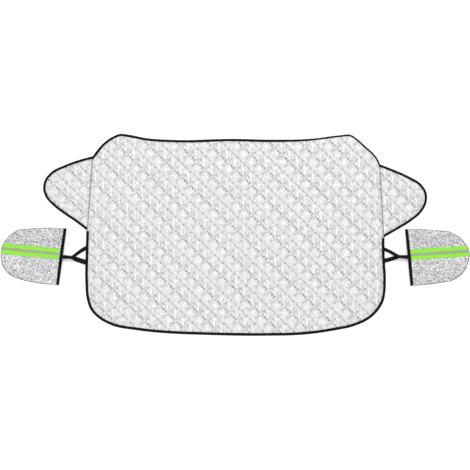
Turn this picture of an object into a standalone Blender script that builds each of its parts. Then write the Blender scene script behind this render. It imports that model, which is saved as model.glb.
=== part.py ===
"""Windshield frost cover, lying flat on its back, face up.

A quilted silver panel with a quilted ear sewn to each side, black binding tape
round the free edges, and two silver pouches that go over the mirrors, each held
by a folded elastic strap. Metres, +Z up, origin at the middle of the panel on
the surface it lies on, +X to the right and +Y to the top edge as seen from above.
"""
import bpy
import bmesh
from math import cos, pi, radians, sin
from mathutils import Vector

# Quilted cloth
QUILT_STEP_UP = (0.03755, 0.03684)      # from one crossing of the seams to the next, up and right
QUILT_STEP_DOWN = (0.03857, -0.03730)   # and down and right
QUILT_SEAM_HEIGHT = 0.0032              # cloth at the bottom of a quilting seam
PILLOW_RISE = 0.0048                    # crown of a pillow above the seam
PILLOW_SLOPE = 0.0125                   # width of a pillow's sloping side
HEM_THICKNESS = 0.0016                  # pressed cloth inside the binding
HEM_BACK = 0.0030                       # how far the hem stops short of a sewn side
PANEL_CROSSING = (0.0022, 0.0180)       # one seam crossing on each piece of cloth
LEFT_EAR_CROSSING = (-0.7811, 0.2055)
RIGHT_EAR_CROSSING = (0.8095, 0.2004)

# Stitch lines of the binding, clockwise seen from above, and the two sewn sides
PANEL_TOP = [(-0.7007, 0.3744), (-0.6458, 0.4420), (-0.6027, 0.4738), (-0.5635, 0.4890),
             (-0.5243, 0.4851), (-0.4459, 0.4694), (-0.2891, 0.4591), (-0.0147, 0.4645),
             (0.1813, 0.4606), (0.3773, 0.4655), (0.5145, 0.4822), (0.5635, 0.4846),
             (0.5860, 0.4710), (0.6199, 0.4420), (0.6953, 0.3636), (0.7076, 0.3361)]
PANEL_BOTTOM = [(0.7252, -0.0088), (0.7262, -0.1068), (0.7326, -0.2244), (0.7296, -0.2832),
                (0.7218, -0.3224), (0.7007, -0.3616), (0.6635, -0.4008), (0.5733, -0.4449),
                (0.4949, -0.4621), (0.3381, -0.4841), (0.1421, -0.4900), (-0.1715, -0.4851),
                (-0.3283, -0.4787), (-0.4851, -0.4626), (-0.6027, -0.4400), (-0.6728, -0.4008),
                (-0.7076, -0.3616), (-0.7213, -0.3224), (-0.7306, -0.2244), (-0.7290, -0.1068),
                (-0.7252, 0.0255)]
LEFT_EAR = [(-0.7252, 0.0255), (-0.7835, 0.0696), (-0.8418, 0.1088), (-0.8913, 0.1480),
            (-0.9256, 0.1872), (-0.9369, 0.2264), (-0.9295, 0.2656), (-0.8967, 0.3048),
            (-0.8379, 0.3347), (-0.7595, 0.3631), (-0.7007, 0.3790)]
RIGHT_EAR = [(0.7076, 0.3396), (0.7693, 0.3156), (0.8477, 0.2808), (0.9045, 0.2460),
             (0.9305, 0.2068), (0.9344, 0.1823), (0.9281, 0.1480), (0.9036, 0.1088),
             (0.8565, 0.0696), (0.7933, 0.0304), (0.7252, -0.0088)]

# Binding tape
BINDING_WIDTH = 0.0100
BINDING_THICKNESS = 0.0008
BINDING_END_GAP = 0.0010                # from an ear's lower corner to the panel's binding
CLEARANCE = 0.0003                      # left between pieces that touch

# Pouches
POUCH_CLOTH = 0.0010
POUCH_RISE = 0.0200                     # crown of the front above its rim
POUCH_RIM = 0.0070                      # width of the flat sewn rim
POUCH_RAMP = 0.1000                     # over which the back comes down from the band to the ground
MOUTH_BAND_WIDTH = 0.0140
MOUTH_BAND_THICKNESS = 0.0008
MOUTH_LIP = 0.0006                      # how far the band's edge stands into the mouth
LEFT_POUCH = dict(
    top=[(-0.8281, 0.0294), (-0.9065, 0.0338), (-1.0045, 0.0289), (-1.0633, 0.0230)],
    far=[(-1.0633, 0.0230), (-1.1074, -0.0039), (-1.1319, -0.0333), (-1.1500, -0.0921),
         (-1.1491, -0.1313), (-1.1270, -0.1803), (-1.0780, -0.2097)],
    low=[(-0.8653, -0.2455), (-0.9457, -0.2391), (-1.0290, -0.2244), (-1.0780, -0.2097)],
    tape=[(-0.8526, -0.0960), (-1.1319, -0.0676)])
RIGHT_POUCH = dict(
    top=[(0.8320, 0.0255), (0.9065, 0.0255), (0.9849, 0.0206), (1.0437, 0.0157)],
    far=[(1.0437, 0.0157), (1.0878, -0.0039), (1.1221, -0.0333), (1.1442, -0.0774),
         (1.1466, -0.1068), (1.1344, -0.1607), (1.1123, -0.1950), (1.0584, -0.2244)],
    low=[(0.8580, -0.2489), (0.9310, -0.2440), (1.0045, -0.2342), (1.0584, -0.2244)],
    tape=[(0.8502, -0.0990), (1.1368, -0.0804)])

# Hi-vis tape and its reflective strip
TAPE_WIDTH = 0.0500
TAPE_THICKNESS = 0.0005
TAPE_END_GAP = 0.0020
STRIP_WIDTH = 0.0120
STRIP_THICKNESS = 0.0004

# Straps: from the fold at the pouch, through the roll, to two ends on the panel's binding
STRAP_WIDTH = 0.0250
STRAP_THICKNESS = 0.0012
STRAP_PLY_GAP = 0.0012
STRAP_LAP = 0.0060                      # lap of a leg's end over the binding
STRAP_OFF_GROUND = 0.0001
LEFT_STRAP = dict(fold_y=-0.1080, roll=(-0.8036, -0.1117), legs=(-0.0652, -0.1362))
RIGHT_STRAP = dict(fold_y=-0.1093, roll=(0.7963, -0.1068), legs=(-0.0700, -0.1290))

UP = Vector((0.0, 0.0, 1.0))
BINDING_HEIGHT = HEM_THICKNESS + 2 * (CLEARANCE + BINDING_THICKNESS)
HEM_HEIGHT = BINDING_THICKNESS + CLEARANCE
SMOOTH_BELOW = radians(40)
WELD = 0.00002
FAR = 0.1                               # past everything that a cutter has to pass

for old in list(bpy.data.objects):
    bpy.data.objects.remove(old, do_unlink=True)
cover = bpy.data.collections.new("windshield_frost_cover")
cutters = bpy.data.collections.new("cutters")
bpy.context.scene.collection.children.link(cover)
bpy.context.scene.collection.children.link(cutters)


def material(name, colour, metallic=0.0, roughness=0.6):
    mat = bpy.data.materials.new(name)
    mat.use_nodes = True
    mat.diffuse_color = (*colour, 1.0)
    shader = mat.node_tree.nodes["Principled BSDF"]
    shader.inputs["Base Color"].default_value = (*colour, 1.0)
    shader.inputs["Metallic"].default_value = metallic
    shader.inputs["Roughness"].default_value = roughness
    return mat


def add(name, mesh, look, where=cover):
    obj = bpy.data.objects.new(name, mesh)
    where.objects.link(obj)
    if look:
        mesh.materials.clear()
        mesh.materials.append(material(name, *look))
    return obj


def add_cutter(name, mesh):
    obj = add(name, mesh, None, cutters)
    obj.hide_render = True
    obj.display_type = 'WIRE'
    return obj


def cut(obj, cutter, operation):
    mod = obj.modifiers.new(cutter.name, 'BOOLEAN')
    mod.operation = operation
    mod.solver = 'EXACT'
    mod.object = cutter


def baked(obj):
    """The object's mesh with its modifiers or its curve worked out."""
    bpy.context.view_layer.update()
    graph = bpy.context.evaluated_depsgraph_get()
    return bpy.data.meshes.new_from_object(obj.evaluated_get(graph), depsgraph=graph)


def mesh_from(name, bm, smooth_shaded=False):
    mesh = bpy.data.meshes.new(name)
    bm.to_mesh(mesh)
    bm.free()
    if smooth_shaded:
        mesh.shade_smooth()
        mesh.set_sharp_from_angle(angle=SMOOTH_BELOW)
    return mesh


def lifted(name, outline, by):
    """A solid between an outline in space and the same outline moved by a vector."""
    bm = bmesh.new()
    face = bm.faces.new([bm.verts.new(p) for p in outline])
    lid = bmesh.ops.extrude_face_region(bm, geom=[face])["geom"]
    bmesh.ops.translate(bm, vec=by, verts=[g for g in lid if isinstance(g, bmesh.types.BMVert)])
    bmesh.ops.recalc_face_normals(bm, faces=bm.faces)
    return mesh_from(name, bm)


# Lines in plan

def smooth(points, turn=radians(10)):
    """A curve through the points, with more samples where it bends."""
    pts = [Vector(p) for p in points]
    out = []
    for i in range(len(pts) - 1):
        b, c = pts[i], pts[i + 1]
        a = pts[i - 1] if i else b * 2 - c
        d = pts[i + 2] if i + 2 < len(pts) else c * 2 - b
        ab, bc, cd = (b - a).length, (c - b).length, (d - c).length
        start = ((b - a) / ab * bc + (c - b) / bc * ab) * (bc / (ab + bc))
        end = ((c - b) / bc * cd + (d - c) / cd * bc) * (bc / (bc + cd))
        count = 1 + int(start.angle(end) / turn)
        for k in range(count):
            t = k / count
            out.append(b * (2 * t**3 - 3 * t**2 + 1) + start * (t**3 - 2 * t**2 + t)
                       + c * (3 * t**2 - 2 * t**3) + end * (t**3 - t**2))
    return out + [pts[-1]]


def right_of(way):
    return Vector((way.y, -way.x)).normalized()


def shifted(line, by):
    """The line moved to its right by a distance, with mitred bends."""
    out = []
    for i, p in enumerate(line):
        before = right_of(p - line[i - 1]) if i else right_of(line[1] - p)
        after = right_of(line[i + 1] - p) if i + 1 < len(line) else before
        out.append(p + (before + after) * (by / (1 + before.dot(after))))
    return out


def crossing(p, way, a, b):
    """Where the line through p crosses the line through a and b."""
    side = right_of(b - a)
    return p + way * ((a - p).dot(side) / way.dot(side))


def to_seams(line, seam_in, seam_out):
    """The line with its two ends carried to the sewn sides it starts and ends on."""
    first = crossing(line[0], line[1] - line[0], *seam_in)
    last = crossing(line[-1], line[-1] - line[-2], *seam_out)
    return [first] + line[1:-1] + [last]


def prism(name, outline, low=-FAR, high=FAR):
    """A flat plate of an outline, between two heights."""
    return lifted(name, [(p.x, p.y, low) for p in outline], UP * (high - low))


# Sewn sides and cloth edges

half_tape = BINDING_WIDTH / 2
top_run, bottom_run = smooth(PANEL_TOP), smooth(PANEL_BOTTOM)
left_run, right_run = smooth(LEFT_EAR), smooth(RIGHT_EAR)
left_seam = [bottom_run[-1], top_run[0]]
right_seam = [top_run[-1], bottom_run[0]]
half_gap = CLEARANCE / 2
left_ear_edge = to_seams(shifted(left_run, -half_tape), left_seam, left_seam)
right_ear_edge = to_seams(shifted(right_run, -half_tape), right_seam, right_seam)
# the bottom binding starts just under each ear's lower corner
bottom_run[0] = right_ear_edge[-1] - Vector((0, BINDING_END_GAP))
bottom_run[-1] = left_ear_edge[0] - Vector((0, BINDING_END_GAP))


def panel_outline(inset, seam_inset):
    left = shifted(left_seam, seam_inset)
    right = shifted(right_seam, seam_inset)
    top = to_seams(shifted(top_run, inset - half_tape), left, right)
    bottom = shifted(bottom_run, inset - half_tape)
    right_step = crossing(bottom_run[0], Vector((1, 0)), *right)
    left_step = crossing(bottom_run[-1], Vector((1, 0)), *left)
    return top + [right_step] + bottom + [left_step]


def ear_outline(run, seam, inset, seam_inset):
    side = shifted(seam, -seam_inset)
    return to_seams(shifted(run, inset - half_tape), side, side)


def pillows(cloth, crossing_at):
    """Raised pillows on a diagonal grid that reaches past the cloth, on a flat back."""
    up, down = Vector(QUILT_STEP_UP), Vector(QUILT_STEP_DOWN)
    area = up.x * down.y - up.y * down.x
    reach = max(up.length, down.length)
    low = Vector((min(p.x for p in cloth) - reach, min(p.y for p in cloth) - reach))
    high = Vector((max(p.x for p in cloth) + reach, max(p.y for p in cloth) + reach))
    start = Vector(crossing_at)
    corners = [Vector((x, y)) - start for x in (low.x, high.x) for y in (low.y, high.y)]
    across = [int((c.x * down.y - c.y * down.x) / area) for c in corners]
    along_it = [int((up.x * c.y - up.y * c.x) / area) for c in corners]
    bm = bmesh.new()
    grid = {}

    def crossing_vertex(i, j):
        if (i, j) not in grid:
            p = start + up * i + down * j
            grid[i, j] = bm.verts.new((p.x, p.y, QUILT_SEAM_HEIGHT))
        return grid[i, j]

    for i in range(min(across) - 1, max(across) + 1):
        for j in range(min(along_it) - 1, max(along_it) + 1):
            middle = start + up * (i + 0.5) + down * (j + 0.5)
            if low.x < middle.x < high.x and low.y < middle.y < high.y:
                bm.faces.new([crossing_vertex(*at) for at in
                              ((i, j), (i, j + 1), (i + 1, j + 1), (i + 1, j))])
    bm.normal_update()
    bmesh.ops.inset_individual(bm, faces=bm.faces[:], thickness=PILLOW_SLOPE, depth=PILLOW_RISE)
    rim = [e for e in bm.edges if e.is_boundary]
    skirt = bmesh.ops.extrude_edge_only(bm, edges=rim)["geom"]
    for v in (g for g in skirt if isinstance(g, bmesh.types.BMVert)):
        v.co.z = 0.0
    bmesh.ops.contextual_create(bm, geom=[g for g in skirt if isinstance(g, bmesh.types.BMEdge)])
    bmesh.ops.recalc_face_normals(bm, faces=bm.faces)
    return bm


def quilted(name, cloth, hem, crossing_at, look):
    """A sheet of pillows cut to its outline, pressed down along the cut, with its hem."""
    sheet = add_cutter(name + "_pillows", mesh_from(name, pillows(cloth, crossing_at)))
    cut(sheet, add_cutter(name + "_cloth_edge", prism(name, cloth)), 'INTERSECT')
    bm = bmesh.new()
    bm.from_mesh(baked(sheet))
    for v in bm.verts:
        on_the_cut = any(abs(f.normal.z) < 0.01 for f in v.link_faces)
        if v.co.z > QUILT_SEAM_HEIGHT and on_the_cut:
            v.co.z = QUILT_SEAM_HEIGHT
    bmesh.ops.remove_doubles(bm, verts=bm.verts, dist=WELD)
    bmesh.ops.recalc_face_normals(bm, faces=bm.faces)
    obj = add(name, mesh_from(name, bm), look)
    plate = prism(name, hem, HEM_HEIGHT, HEM_HEIGHT + HEM_THICKNESS)
    cut(obj, add_cutter(name + "_hem", plate), 'UNION')
    return obj


def tape_profile():
    """The folded tape across its width: open to the cloth, round at the outer edge."""
    fold = BINDING_HEIGHT / 2
    arc = [(fold * (1 - cos(a)), fold * (1 + sin(a))) for a in
           (radians(d) for d in (-90, -45, 0, 45, 90))]
    inner_low, inner_high = BINDING_THICKNESS, BINDING_HEIGHT - BINDING_THICKNESS
    return ([(BINDING_WIDTH, 0.0)] + arc + [(BINDING_WIDTH, BINDING_HEIGHT),
            (BINDING_WIDTH, inner_high), (BINDING_THICKNESS, inner_high),
            (BINDING_THICKNESS, inner_low), (BINDING_WIDTH, inner_low)])


def line_curve(name, points):
    """A curve of straight runs through points in plan."""
    curve = bpy.data.curves.new(name, 'CURVE')
    spline = curve.splines.new('POLY')
    spline.points.add(len(points) - 1)
    for point, (x, y) in zip(spline.points, points):
        point.co = (x, y, 0, 1)
    return curve


def binding(name, edge, look, cutters_for_it=()):
    """The folded tape drawn along a cloth edge, cut off where it meets a sewn side."""
    profile = line_curve(name + "_profile", tape_profile())
    profile.dimensions = '2D'
    profile.splines[0].use_cyclic_u = True
    rail = line_curve(name, edge)
    rail.dimensions = '3D'
    rail.twist_mode = 'Z_UP'
    rail.bevel_mode = 'OBJECT'
    rail.bevel_object = add_cutter(name + "_profile", profile)
    rail.use_fill_caps = True
    bm = bmesh.new()
    bm.from_mesh(baked(add_cutter(name + "_rail", rail)))
    bmesh.ops.remove_doubles(bm, verts=bm.verts, dist=WELD)
    bmesh.ops.recalc_face_normals(bm, faces=bm.faces)
    obj = add(name, mesh_from(name, bm, smooth_shaded=True), look)
    for cutter in cutters_for_it:
        cut(obj, cutter, 'DIFFERENCE')
    return obj


def run_on(edge):
    """The edge with its ends drawn out straight, past where they are cut off."""
    out = list(edge)
    out[0] = out[0] + (out[0] - out[1]).normalized() * BINDING_WIDTH * 2
    out[-1] = out[-1] + (out[-1] - out[-2]).normalized() * BINDING_WIDTH * 2
    return out


def seam_cutter(name, seam, by):
    """A block that fills one side of a sewn side, from a distance off its line."""
    a, b = shifted(seam, by)
    way = (b - a).normalized()
    side = right_of(way) * (-FAR if by > 0 else FAR)
    a, b = a - way * FAR, b + way * FAR
    return add_cutter(name, prism(name, [a, b, b + side, a + side]))


# Panel, ears and bindings

FOIL = ((0.76, 0.77, 0.78), 0.35, 0.42)         # colour, metallic, roughness
BLACK = ((0.012, 0.012, 0.013), 0.0, 0.75)
cloth_inset = BINDING_WIDTH + CLEARANCE
hem_inset = BINDING_THICKNESS + CLEARANCE
quilted("main_panel", panel_outline(cloth_inset, half_gap),
        panel_outline(hem_inset, HEM_BACK), PANEL_CROSSING, FOIL)
for side, run, seam, place in (("left", left_run, left_seam, LEFT_EAR_CROSSING),
                               ("right", right_run, right_seam, RIGHT_EAR_CROSSING)):
    quilted(side + "_ear", ear_outline(run, seam, cloth_inset, half_gap),
            ear_outline(run, seam, hem_inset, HEM_BACK), place, FOIL)
    panel_side = seam_cutter(side + "_panel_side", seam, -half_gap)
    binding(side + "_ear_binding", run_on(shifted(run, -half_tape)), BLACK, [panel_side])
ear_sides = [seam_cutter("left_ear_side", left_seam, half_gap),
             seam_cutter("right_ear_side", right_seam, half_gap)]
binding("top_binding", run_on(shifted(top_run, -half_tape)), BLACK, ear_sides)
binding("bottom_binding", shifted(bottom_run, -half_tape), BLACK)


# Pouches

def along(line, fraction):
    """The point at a share of a line's length."""
    lengths = [(b - a).length for a, b in zip(line, line[1:])]
    left = fraction * sum(lengths)
    for a, b, length in zip(line, line[1:], lengths):
        if left <= length or b is line[-1]:
            return a + (b - a) * (left / length)
        left -= length


def split_line(line, a, b):
    """Cuts a line where the line through a and b crosses it."""
    side = right_of(b - a)
    for i in range(len(line) - 1):
        here, there = (line[i] - a).dot(side), (line[i + 1] - a).dot(side)
        if here * there <= 0 and (line[i] - a).dot(b - a) > 0:
            p = line[i] + (line[i + 1] - line[i]) * (here / (here - there))
            return line[:i + 1] + [p], [p] + line[i + 1:]


def ease(x):
    x = min(max(x, 0.0), 1.0)
    return x * x * (3 - 2 * x)


def solid_sheet(name, bm, thickness, look):
    """An open surface made into cloth that lies above it."""
    bm.normal_update()
    if sum(f.normal.z for f in bm.faces) < 0:
        bmesh.ops.reverse_faces(bm, faces=bm.faces)
    obj = add(name, mesh_from(name, bm, smooth_shaded=True), look)
    mod = obj.modifiers.new("cloth", 'SOLIDIFY')
    mod.thickness = thickness
    mod.offset = 1.0
    return obj


class Pouch:
    """The shape of one pouch as a sheet with rows across the mouth and columns away from it."""

    def __init__(self, top, far, low, tape):
        top, low = smooth(top), smooth(low)
        far = smooth(far, radians(6))[::-1]
        near_end, far_end = Vector(tape[0]), Vector(tape[1])
        off = right_of(far_end - near_end)
        off *= 1 if off.y < 0 else -1
        lines = [off * (TAPE_WIDTH / 2), off * (STRIP_WIDTH / 2),
                 off * (-STRIP_WIDTH / 2), off * (-TAPE_WIDTH / 2)]
        mouth = [low[0], top[0]]
        self.mouth = mouth
        self.length = (far_end - near_end).length
        pieces, mouth_at, rest = [], [0.0], far
        for shift in lines:
            piece, rest = split_line(rest, near_end + shift, far_end + shift)
            pieces.append(piece)
            hit = crossing(near_end + shift, far_end - near_end, *mouth)
            mouth_at.append((hit - mouth[0]).length / (mouth[1] - mouth[0]).length)
        pieces.append(rest)
        mouth_at.append(1.0)
        # rows: the rim, the cloth below the tape, the tape with its strip, the cloth above it
        rim = POUCH_RIM / (mouth[1] - mouth[0]).length
        below, above = mouth_at[1] - rim, 1 - rim - mouth_at[4]
        self.rows = ([0.0, rim, rim + below * 0.25, rim + below * 0.6] + mouth_at[1:5]
                     + [1 - rim - above * 0.6, 1 - rim - above * 0.25, 1 - rim, 1.0])
        self.tape_rows = [self.rows.index(at) for at in mouth_at[1:5]]
        rim_end = 1 - POUCH_RIM / self.length
        self.columns = ([0.0, (MOUTH_BAND_WIDTH + CLEARANCE) / self.length]
                        + [rim_end * share for share in (0.2, 0.36, 0.52, 0.68, 0.8, 0.9, 0.96)]
                        + [rim_end, 1.0])
        self.rim, self.rim_end = rim, rim_end
        self.points = []
        for s in self.rows:
            at = max(i for i in range(5) if s >= mouth_at[i] - 1e-9)
            share = (s - mouth_at[at]) / (mouth_at[at + 1] - mouth_at[at])
            end = along(pieces[at], share)
            start = mouth[0] + (mouth[1] - mouth[0]) * s
            row = []
            for t in self.columns:
                a, b = along(low, t), along(top, t)
                sag = (a - (low[0] * (1 - t) + low[-1] * t)) * (1 - s) \
                    + (b - (top[0] * (1 - t) + top[-1] * t)) * s
                row.append(start * (1 - t) + end * t + sag)
            self.points.append(row)

    def height(self, i, j):
        """Height of the front's underside at a row and column."""
        s, t = self.rows[i], self.columns[j]
        across = (min(s, 1 - s) - self.rim) / (0.5 - self.rim)
        away = 1 - min(t / self.rim_end, 1.0) ** 2.2
        dome = POUCH_RISE * sin(pi / 2 * max(across, 0.0) ** 0.8) * max(away, 0.0) ** 0.6
        return self.floor(j) + POUCH_CLOTH + CLEARANCE + dome

    def floor(self, j):
        """Height of the back's underside: it comes down from the mouth band to the ground."""
        down = ease(self.columns[j] * self.length / POUCH_RAMP)
        return (MOUTH_BAND_THICKNESS + CLEARANCE) * (1 - down)

    def front_point(self, i, j):
        p = self.points[i][j]
        return Vector((p.x, p.y, self.height(i, j)))

    def front_normal(self, i, j):
        i0, i1 = max(i - 1, 0), min(i + 1, len(self.rows) - 1)
        j0, j1 = max(j - 1, 0), min(j + 1, len(self.columns) - 1)
        n = (self.front_point(i1, j) - self.front_point(i0, j)).cross(
            self.front_point(i, j1) - self.front_point(i, j0)).normalized()
        return n if n.z > 0 else -n

    def sheet(self, name, rows, columns, raise_by, thickness, look, short=0.0):
        """A sheet over some rows and columns, raised off the front's underside."""
        bm = bmesh.new()
        grid = []
        for i in rows:
            line = []
            for j in columns:
                at = self.front_point(i, j)
                if short and j == columns[-1]:
                    back = self.front_point(i, j - 1) - at
                    at = at + back.normalized() * short
                line.append(bm.verts.new(at + self.front_normal(i, j) * raise_by))
            grid.append(line)
        for a, b in zip(grid, grid[1:]):
            for k in range(len(a) - 1):
                bm.faces.new([a[k], a[k + 1], b[k + 1]])
                bm.faces.new([a[k], b[k + 1], b[k]])
        return solid_sheet(name, bm, thickness, look)

    def back(self, name, look):
        """The back: flat on the ground, ramped up to the mouth band at its mouth."""
        flat_from = min(j for j in range(len(self.columns)) if self.floor(j) == 0.0)
        bm = bmesh.new()

        def vertex(i, j):
            p = self.points[i][j]
            return bm.verts.new((p.x, p.y, self.floor(j)))

        low = [vertex(0, j) for j in range(len(self.columns))]
        top = [vertex(-1, j) for j in range(len(self.columns))]
        end = [vertex(i, -1) for i in range(1, len(self.rows) - 1)]
        for j in range(flat_from):
            bm.faces.new([low[j], low[j + 1], top[j + 1], top[j]])
        bm.faces.new(low[flat_from:] + end + top[flat_from:][::-1])
        return solid_sheet(name, bm, POUCH_CLOTH, look)

    def band(self, name, look):
        """The elastic round the mouth: a sleeve over both sheets, closed over their edges."""
        a, b = self.mouth
        way = (b - a).normalized()
        square = right_of(way)
        square *= 1 if (self.points[0][-1] - a).dot(square) < 0 else -1
        # the sleeve runs the way the rows of the sheet run, which a slanted mouth isn't square to
        rows_way = sum((row[0] - row[1] for row in self.points), Vector((0, 0)))
        out = rows_way / rows_way.dot(square)
        reach = [(p - a - out * (p - a).dot(square)).dot(way)
                 for row in (self.points[0], self.points[-1]) for p in row[:2]]
        at = [(row[0] - a).dot(way) for row in self.points]
        at[0], at[-1] = min(reach), max(reach)
        under = [self.height(i, 0) for i in range(len(self.rows))]

        def block(part, low, over, ends, rows, start, end):
            """A slab with the mouth's section: flat below, over the front's underside above."""
            foot = [(at[rows[0]] - ends, low), (at[rows[-1]] + ends, low)]
            arch = [(at[i], under[i] + over) for i in rows]
            arch[0] = (foot[0][0], arch[0][1])
            arch[-1] = (foot[1][0], arch[-1][1])
            outline = [(*(a + way * y + out * start), z) for y, z in foot + arch[::-1]]
            return lifted(part, outline, Vector((*(out * (end - start)), 0)))

        every = list(range(len(self.rows)))
        lifted_rows = [i for i in every if under[i] > under[0] + 4 * MOUTH_LIP]
        wall = MOUTH_BAND_THICKNESS + CLEARANCE
        on_slope = 1.08     # an offset square to the arch, measured upright
        obj = add(name, block(name, 0.0, POUCH_CLOTH + wall * on_slope, wall, every,
                              wall - MOUTH_BAND_WIDTH, wall), look)
        pocket = block(name + "_pocket", MOUTH_BAND_THICKNESS, POUCH_CLOTH + CLEARANCE * on_slope,
                       CLEARANCE, every, -FAR, CLEARANCE)
        opening = block(name + "_opening", self.floor(0) + POUCH_CLOTH + MOUTH_LIP, -MOUTH_LIP,
                        0.0, lifted_rows, -MOUTH_LIP, FAR)
        cut(obj, add_cutter(name + "_pocket", pocket), 'DIFFERENCE')
        cut(obj, add_cutter(name + "_opening", opening), 'DIFFERENCE')
        return obj


# Straps

def ribbon(name, stations, look):
    """A flat webbing through stations of middle, half width and half thickness vectors."""
    bm = bmesh.new()
    rings = [[bm.verts.new(m + w * a + t * b) for a, b in ((-1, -1), (1, -1), (1, 1), (-1, 1))]
             for m, w, t in stations]
    for r, s in zip(rings, rings[1:]):
        for k in range(4):
            bm.faces.new([r[k], r[(k + 1) % 4], s[(k + 1) % 4], s[k]])
    bm.faces.new(rings[0][::-1])
    bm.faces.new(rings[-1])
    bmesh.ops.recalc_face_normals(bm, faces=bm.faces)
    return add(name, mesh_from(name, bm), look)


def section(flat, angle, half, thin):
    """Half width and half thickness vectors of a webbing rolled from flat about its length."""
    wide = Vector((*(flat * cos(angle)), -sin(angle)))
    stack = Vector((*(flat * sin(angle)), cos(angle)))
    return wide * half, stack * thin


def strap(name, pouch, look, panel_x, fold_y, roll, legs):
    """Two plies from a fold at the mouth, rolled on edge together, then parted into two legs."""
    a, b = pouch.mouth
    inward = 1 if panel_x > a.x else -1
    mouth_way = (b - a).normalized()
    square = right_of(mouth_way)
    square *= 1 if square.x * inward > 0 else -1
    half, thin = STRAP_WIDTH / 2, STRAP_THICKNESS / 2
    apart = STRAP_PLY_GAP / 2 + thin
    off_mouth = MOUTH_BAND_THICKNESS + 2 * CLEARANCE + apart + thin
    start = a + (b - a) * ((fold_y - a.y) / (b.y - a.y)) + square * off_mouth
    roll = Vector(roll)
    way = (roll - start).normalized()
    across = right_of(way)
    across *= 1 if across.y > 0 else -1

    def ply(t, sign):
        """One ply of the pair at a share of the way to the roll."""
        angle = pi / 2 * ease(t)
        wide, stack = section(mouth_way.lerp(across, ease(t)).normalized(), angle, half, thin)
        middle = start.lerp(roll, t)
        rise = half * sin(angle) + (apart + thin) * cos(angle) + STRAP_OFF_GROUND
        return Vector((*middle, rise)) + stack * (apart / thin * sign), wide, stack

    def leg(sign, end_y):
        """A ply from the roll to its end on the binding, unrolled on the way and lifted over it."""
        end = Vector((panel_x, end_y))
        first = roll + across * (apart * sign)
        reach = (end - first).length
        leave, arrive = way * reach, Vector((inward, 0.35 * sign)).normalized() * reach
        stations = []
        for t in (k / 10 for k in range(1, 11)):
            middle = (first * (2 * t**3 - 3 * t**2 + 1) + leave * (t**3 - 2 * t**2 + t)
                      + end * (3 * t**2 - 2 * t**3) + arrive * (t**3 - t**2))
            angle = pi / 2 * (1 - ease(t / 0.72))
            wide, stack = section(across.lerp(Vector((0, 1)), ease(t)).normalized(),
                                  angle, half, thin)
            over = (BINDING_HEIGHT + CLEARANCE) * ease((t - 0.3) / 0.42)
            rise = half * sin(angle) + thin * cos(angle) + STRAP_OFF_GROUND + over
            stations.append((Vector((*middle, rise)), wide, stack))
        return stations

    upper, lower = ([ply(k / 8, sign) for k in range(1, 9)] + leg(sign, end_y)
                    for sign, end_y in zip((1, -1), legs))
    top_middle, wide, _ = ply(0.0, 1)
    fold = []
    for angle in (pi * k / 4 for k in range(5)):
        turn = UP * cos(angle) - Vector((*square, 0)) * sin(angle)
        fold.append((top_middle + (turn - UP) * apart, wide, turn * thin))
    lower = [(middle, wide, -stack) for middle, wide, stack in lower]
    return ribbon(name, upper[::-1] + fold + lower, look)


SILVER = ((0.70, 0.71, 0.72), 0.35, 0.42)
HI_VIS = ((0.30, 0.84, 0.05), 0.0, 0.55)
GREY = ((0.38, 0.44, 0.36), 0.2, 0.45)
ELASTIC = ((0.015, 0.015, 0.016), 0.0, 0.8)
for side, inward, shape, strap_shape in (("left", 1, LEFT_POUCH, LEFT_STRAP),
                                         ("right", -1, RIGHT_POUCH, RIGHT_STRAP)):
    pouch = Pouch(**shape)
    rows, columns = range(len(pouch.rows)), list(range(len(pouch.columns)))
    tape = pouch.tape_rows
    over_cloth = POUCH_CLOTH + CLEARANCE
    over_tape = over_cloth + TAPE_THICKNESS + CLEARANCE
    pouch.back(side + "_pouch_back", SILVER)
    pouch.sheet(side + "_pouch_front", rows, columns, 0.0, POUCH_CLOTH, SILVER)
    pouch.band(side + "_pouch_mouth_band", ELASTIC)
    pouch.sheet(side + "_hi_vis_tape", tape, columns[1:], over_cloth, TAPE_THICKNESS, HI_VIS,
                short=TAPE_END_GAP)
    pouch.sheet(side + "_reflective_strip", tape[1:3], columns[1:], over_tape, STRIP_THICKNESS,
                GREY, short=TAPE_END_GAP)
    panel_side = [p for p in shifted(bottom_run, -half_tape) if p.x * inward < 0]
    beside = min(panel_side, key=lambda p: abs(p.y - strap_shape["roll"][1]))
    strap(side + "_strap", pouch, ELASTIC, beside.x + inward * STRAP_LAP, **strap_shape)
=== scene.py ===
"""Looks of the windshield frost cover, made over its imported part. Metres, +Z up.

The quilted cloth, the bindings, the pouches, the straps and the sewing are fine meshes of their own
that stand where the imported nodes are.
"""
from math import cos, pi, radians, sin

import bmesh
import bpy
import numpy as np
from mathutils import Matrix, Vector
from mathutils.geometry import delaunay_2d_cdt
from mathutils.kdtree import KDTree


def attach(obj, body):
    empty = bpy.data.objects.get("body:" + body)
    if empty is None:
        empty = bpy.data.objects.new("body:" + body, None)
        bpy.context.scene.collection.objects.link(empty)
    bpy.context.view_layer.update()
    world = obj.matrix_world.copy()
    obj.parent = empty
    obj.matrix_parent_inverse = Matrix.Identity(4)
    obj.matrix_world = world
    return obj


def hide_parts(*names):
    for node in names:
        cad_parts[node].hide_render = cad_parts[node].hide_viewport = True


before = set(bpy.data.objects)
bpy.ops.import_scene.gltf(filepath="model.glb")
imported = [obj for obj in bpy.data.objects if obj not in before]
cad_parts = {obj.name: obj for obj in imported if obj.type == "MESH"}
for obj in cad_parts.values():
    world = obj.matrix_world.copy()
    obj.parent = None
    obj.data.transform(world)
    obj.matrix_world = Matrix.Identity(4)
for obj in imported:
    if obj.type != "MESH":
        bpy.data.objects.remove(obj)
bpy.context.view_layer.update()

# Quilting, from one crossing to the next: up and right, and down and right
STEP_UP = np.array((0.03755, 0.03684))
STEP_DOWN = np.array((0.03857, -0.03730))
BASIS = np.array([STEP_UP, STEP_DOWN])
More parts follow.
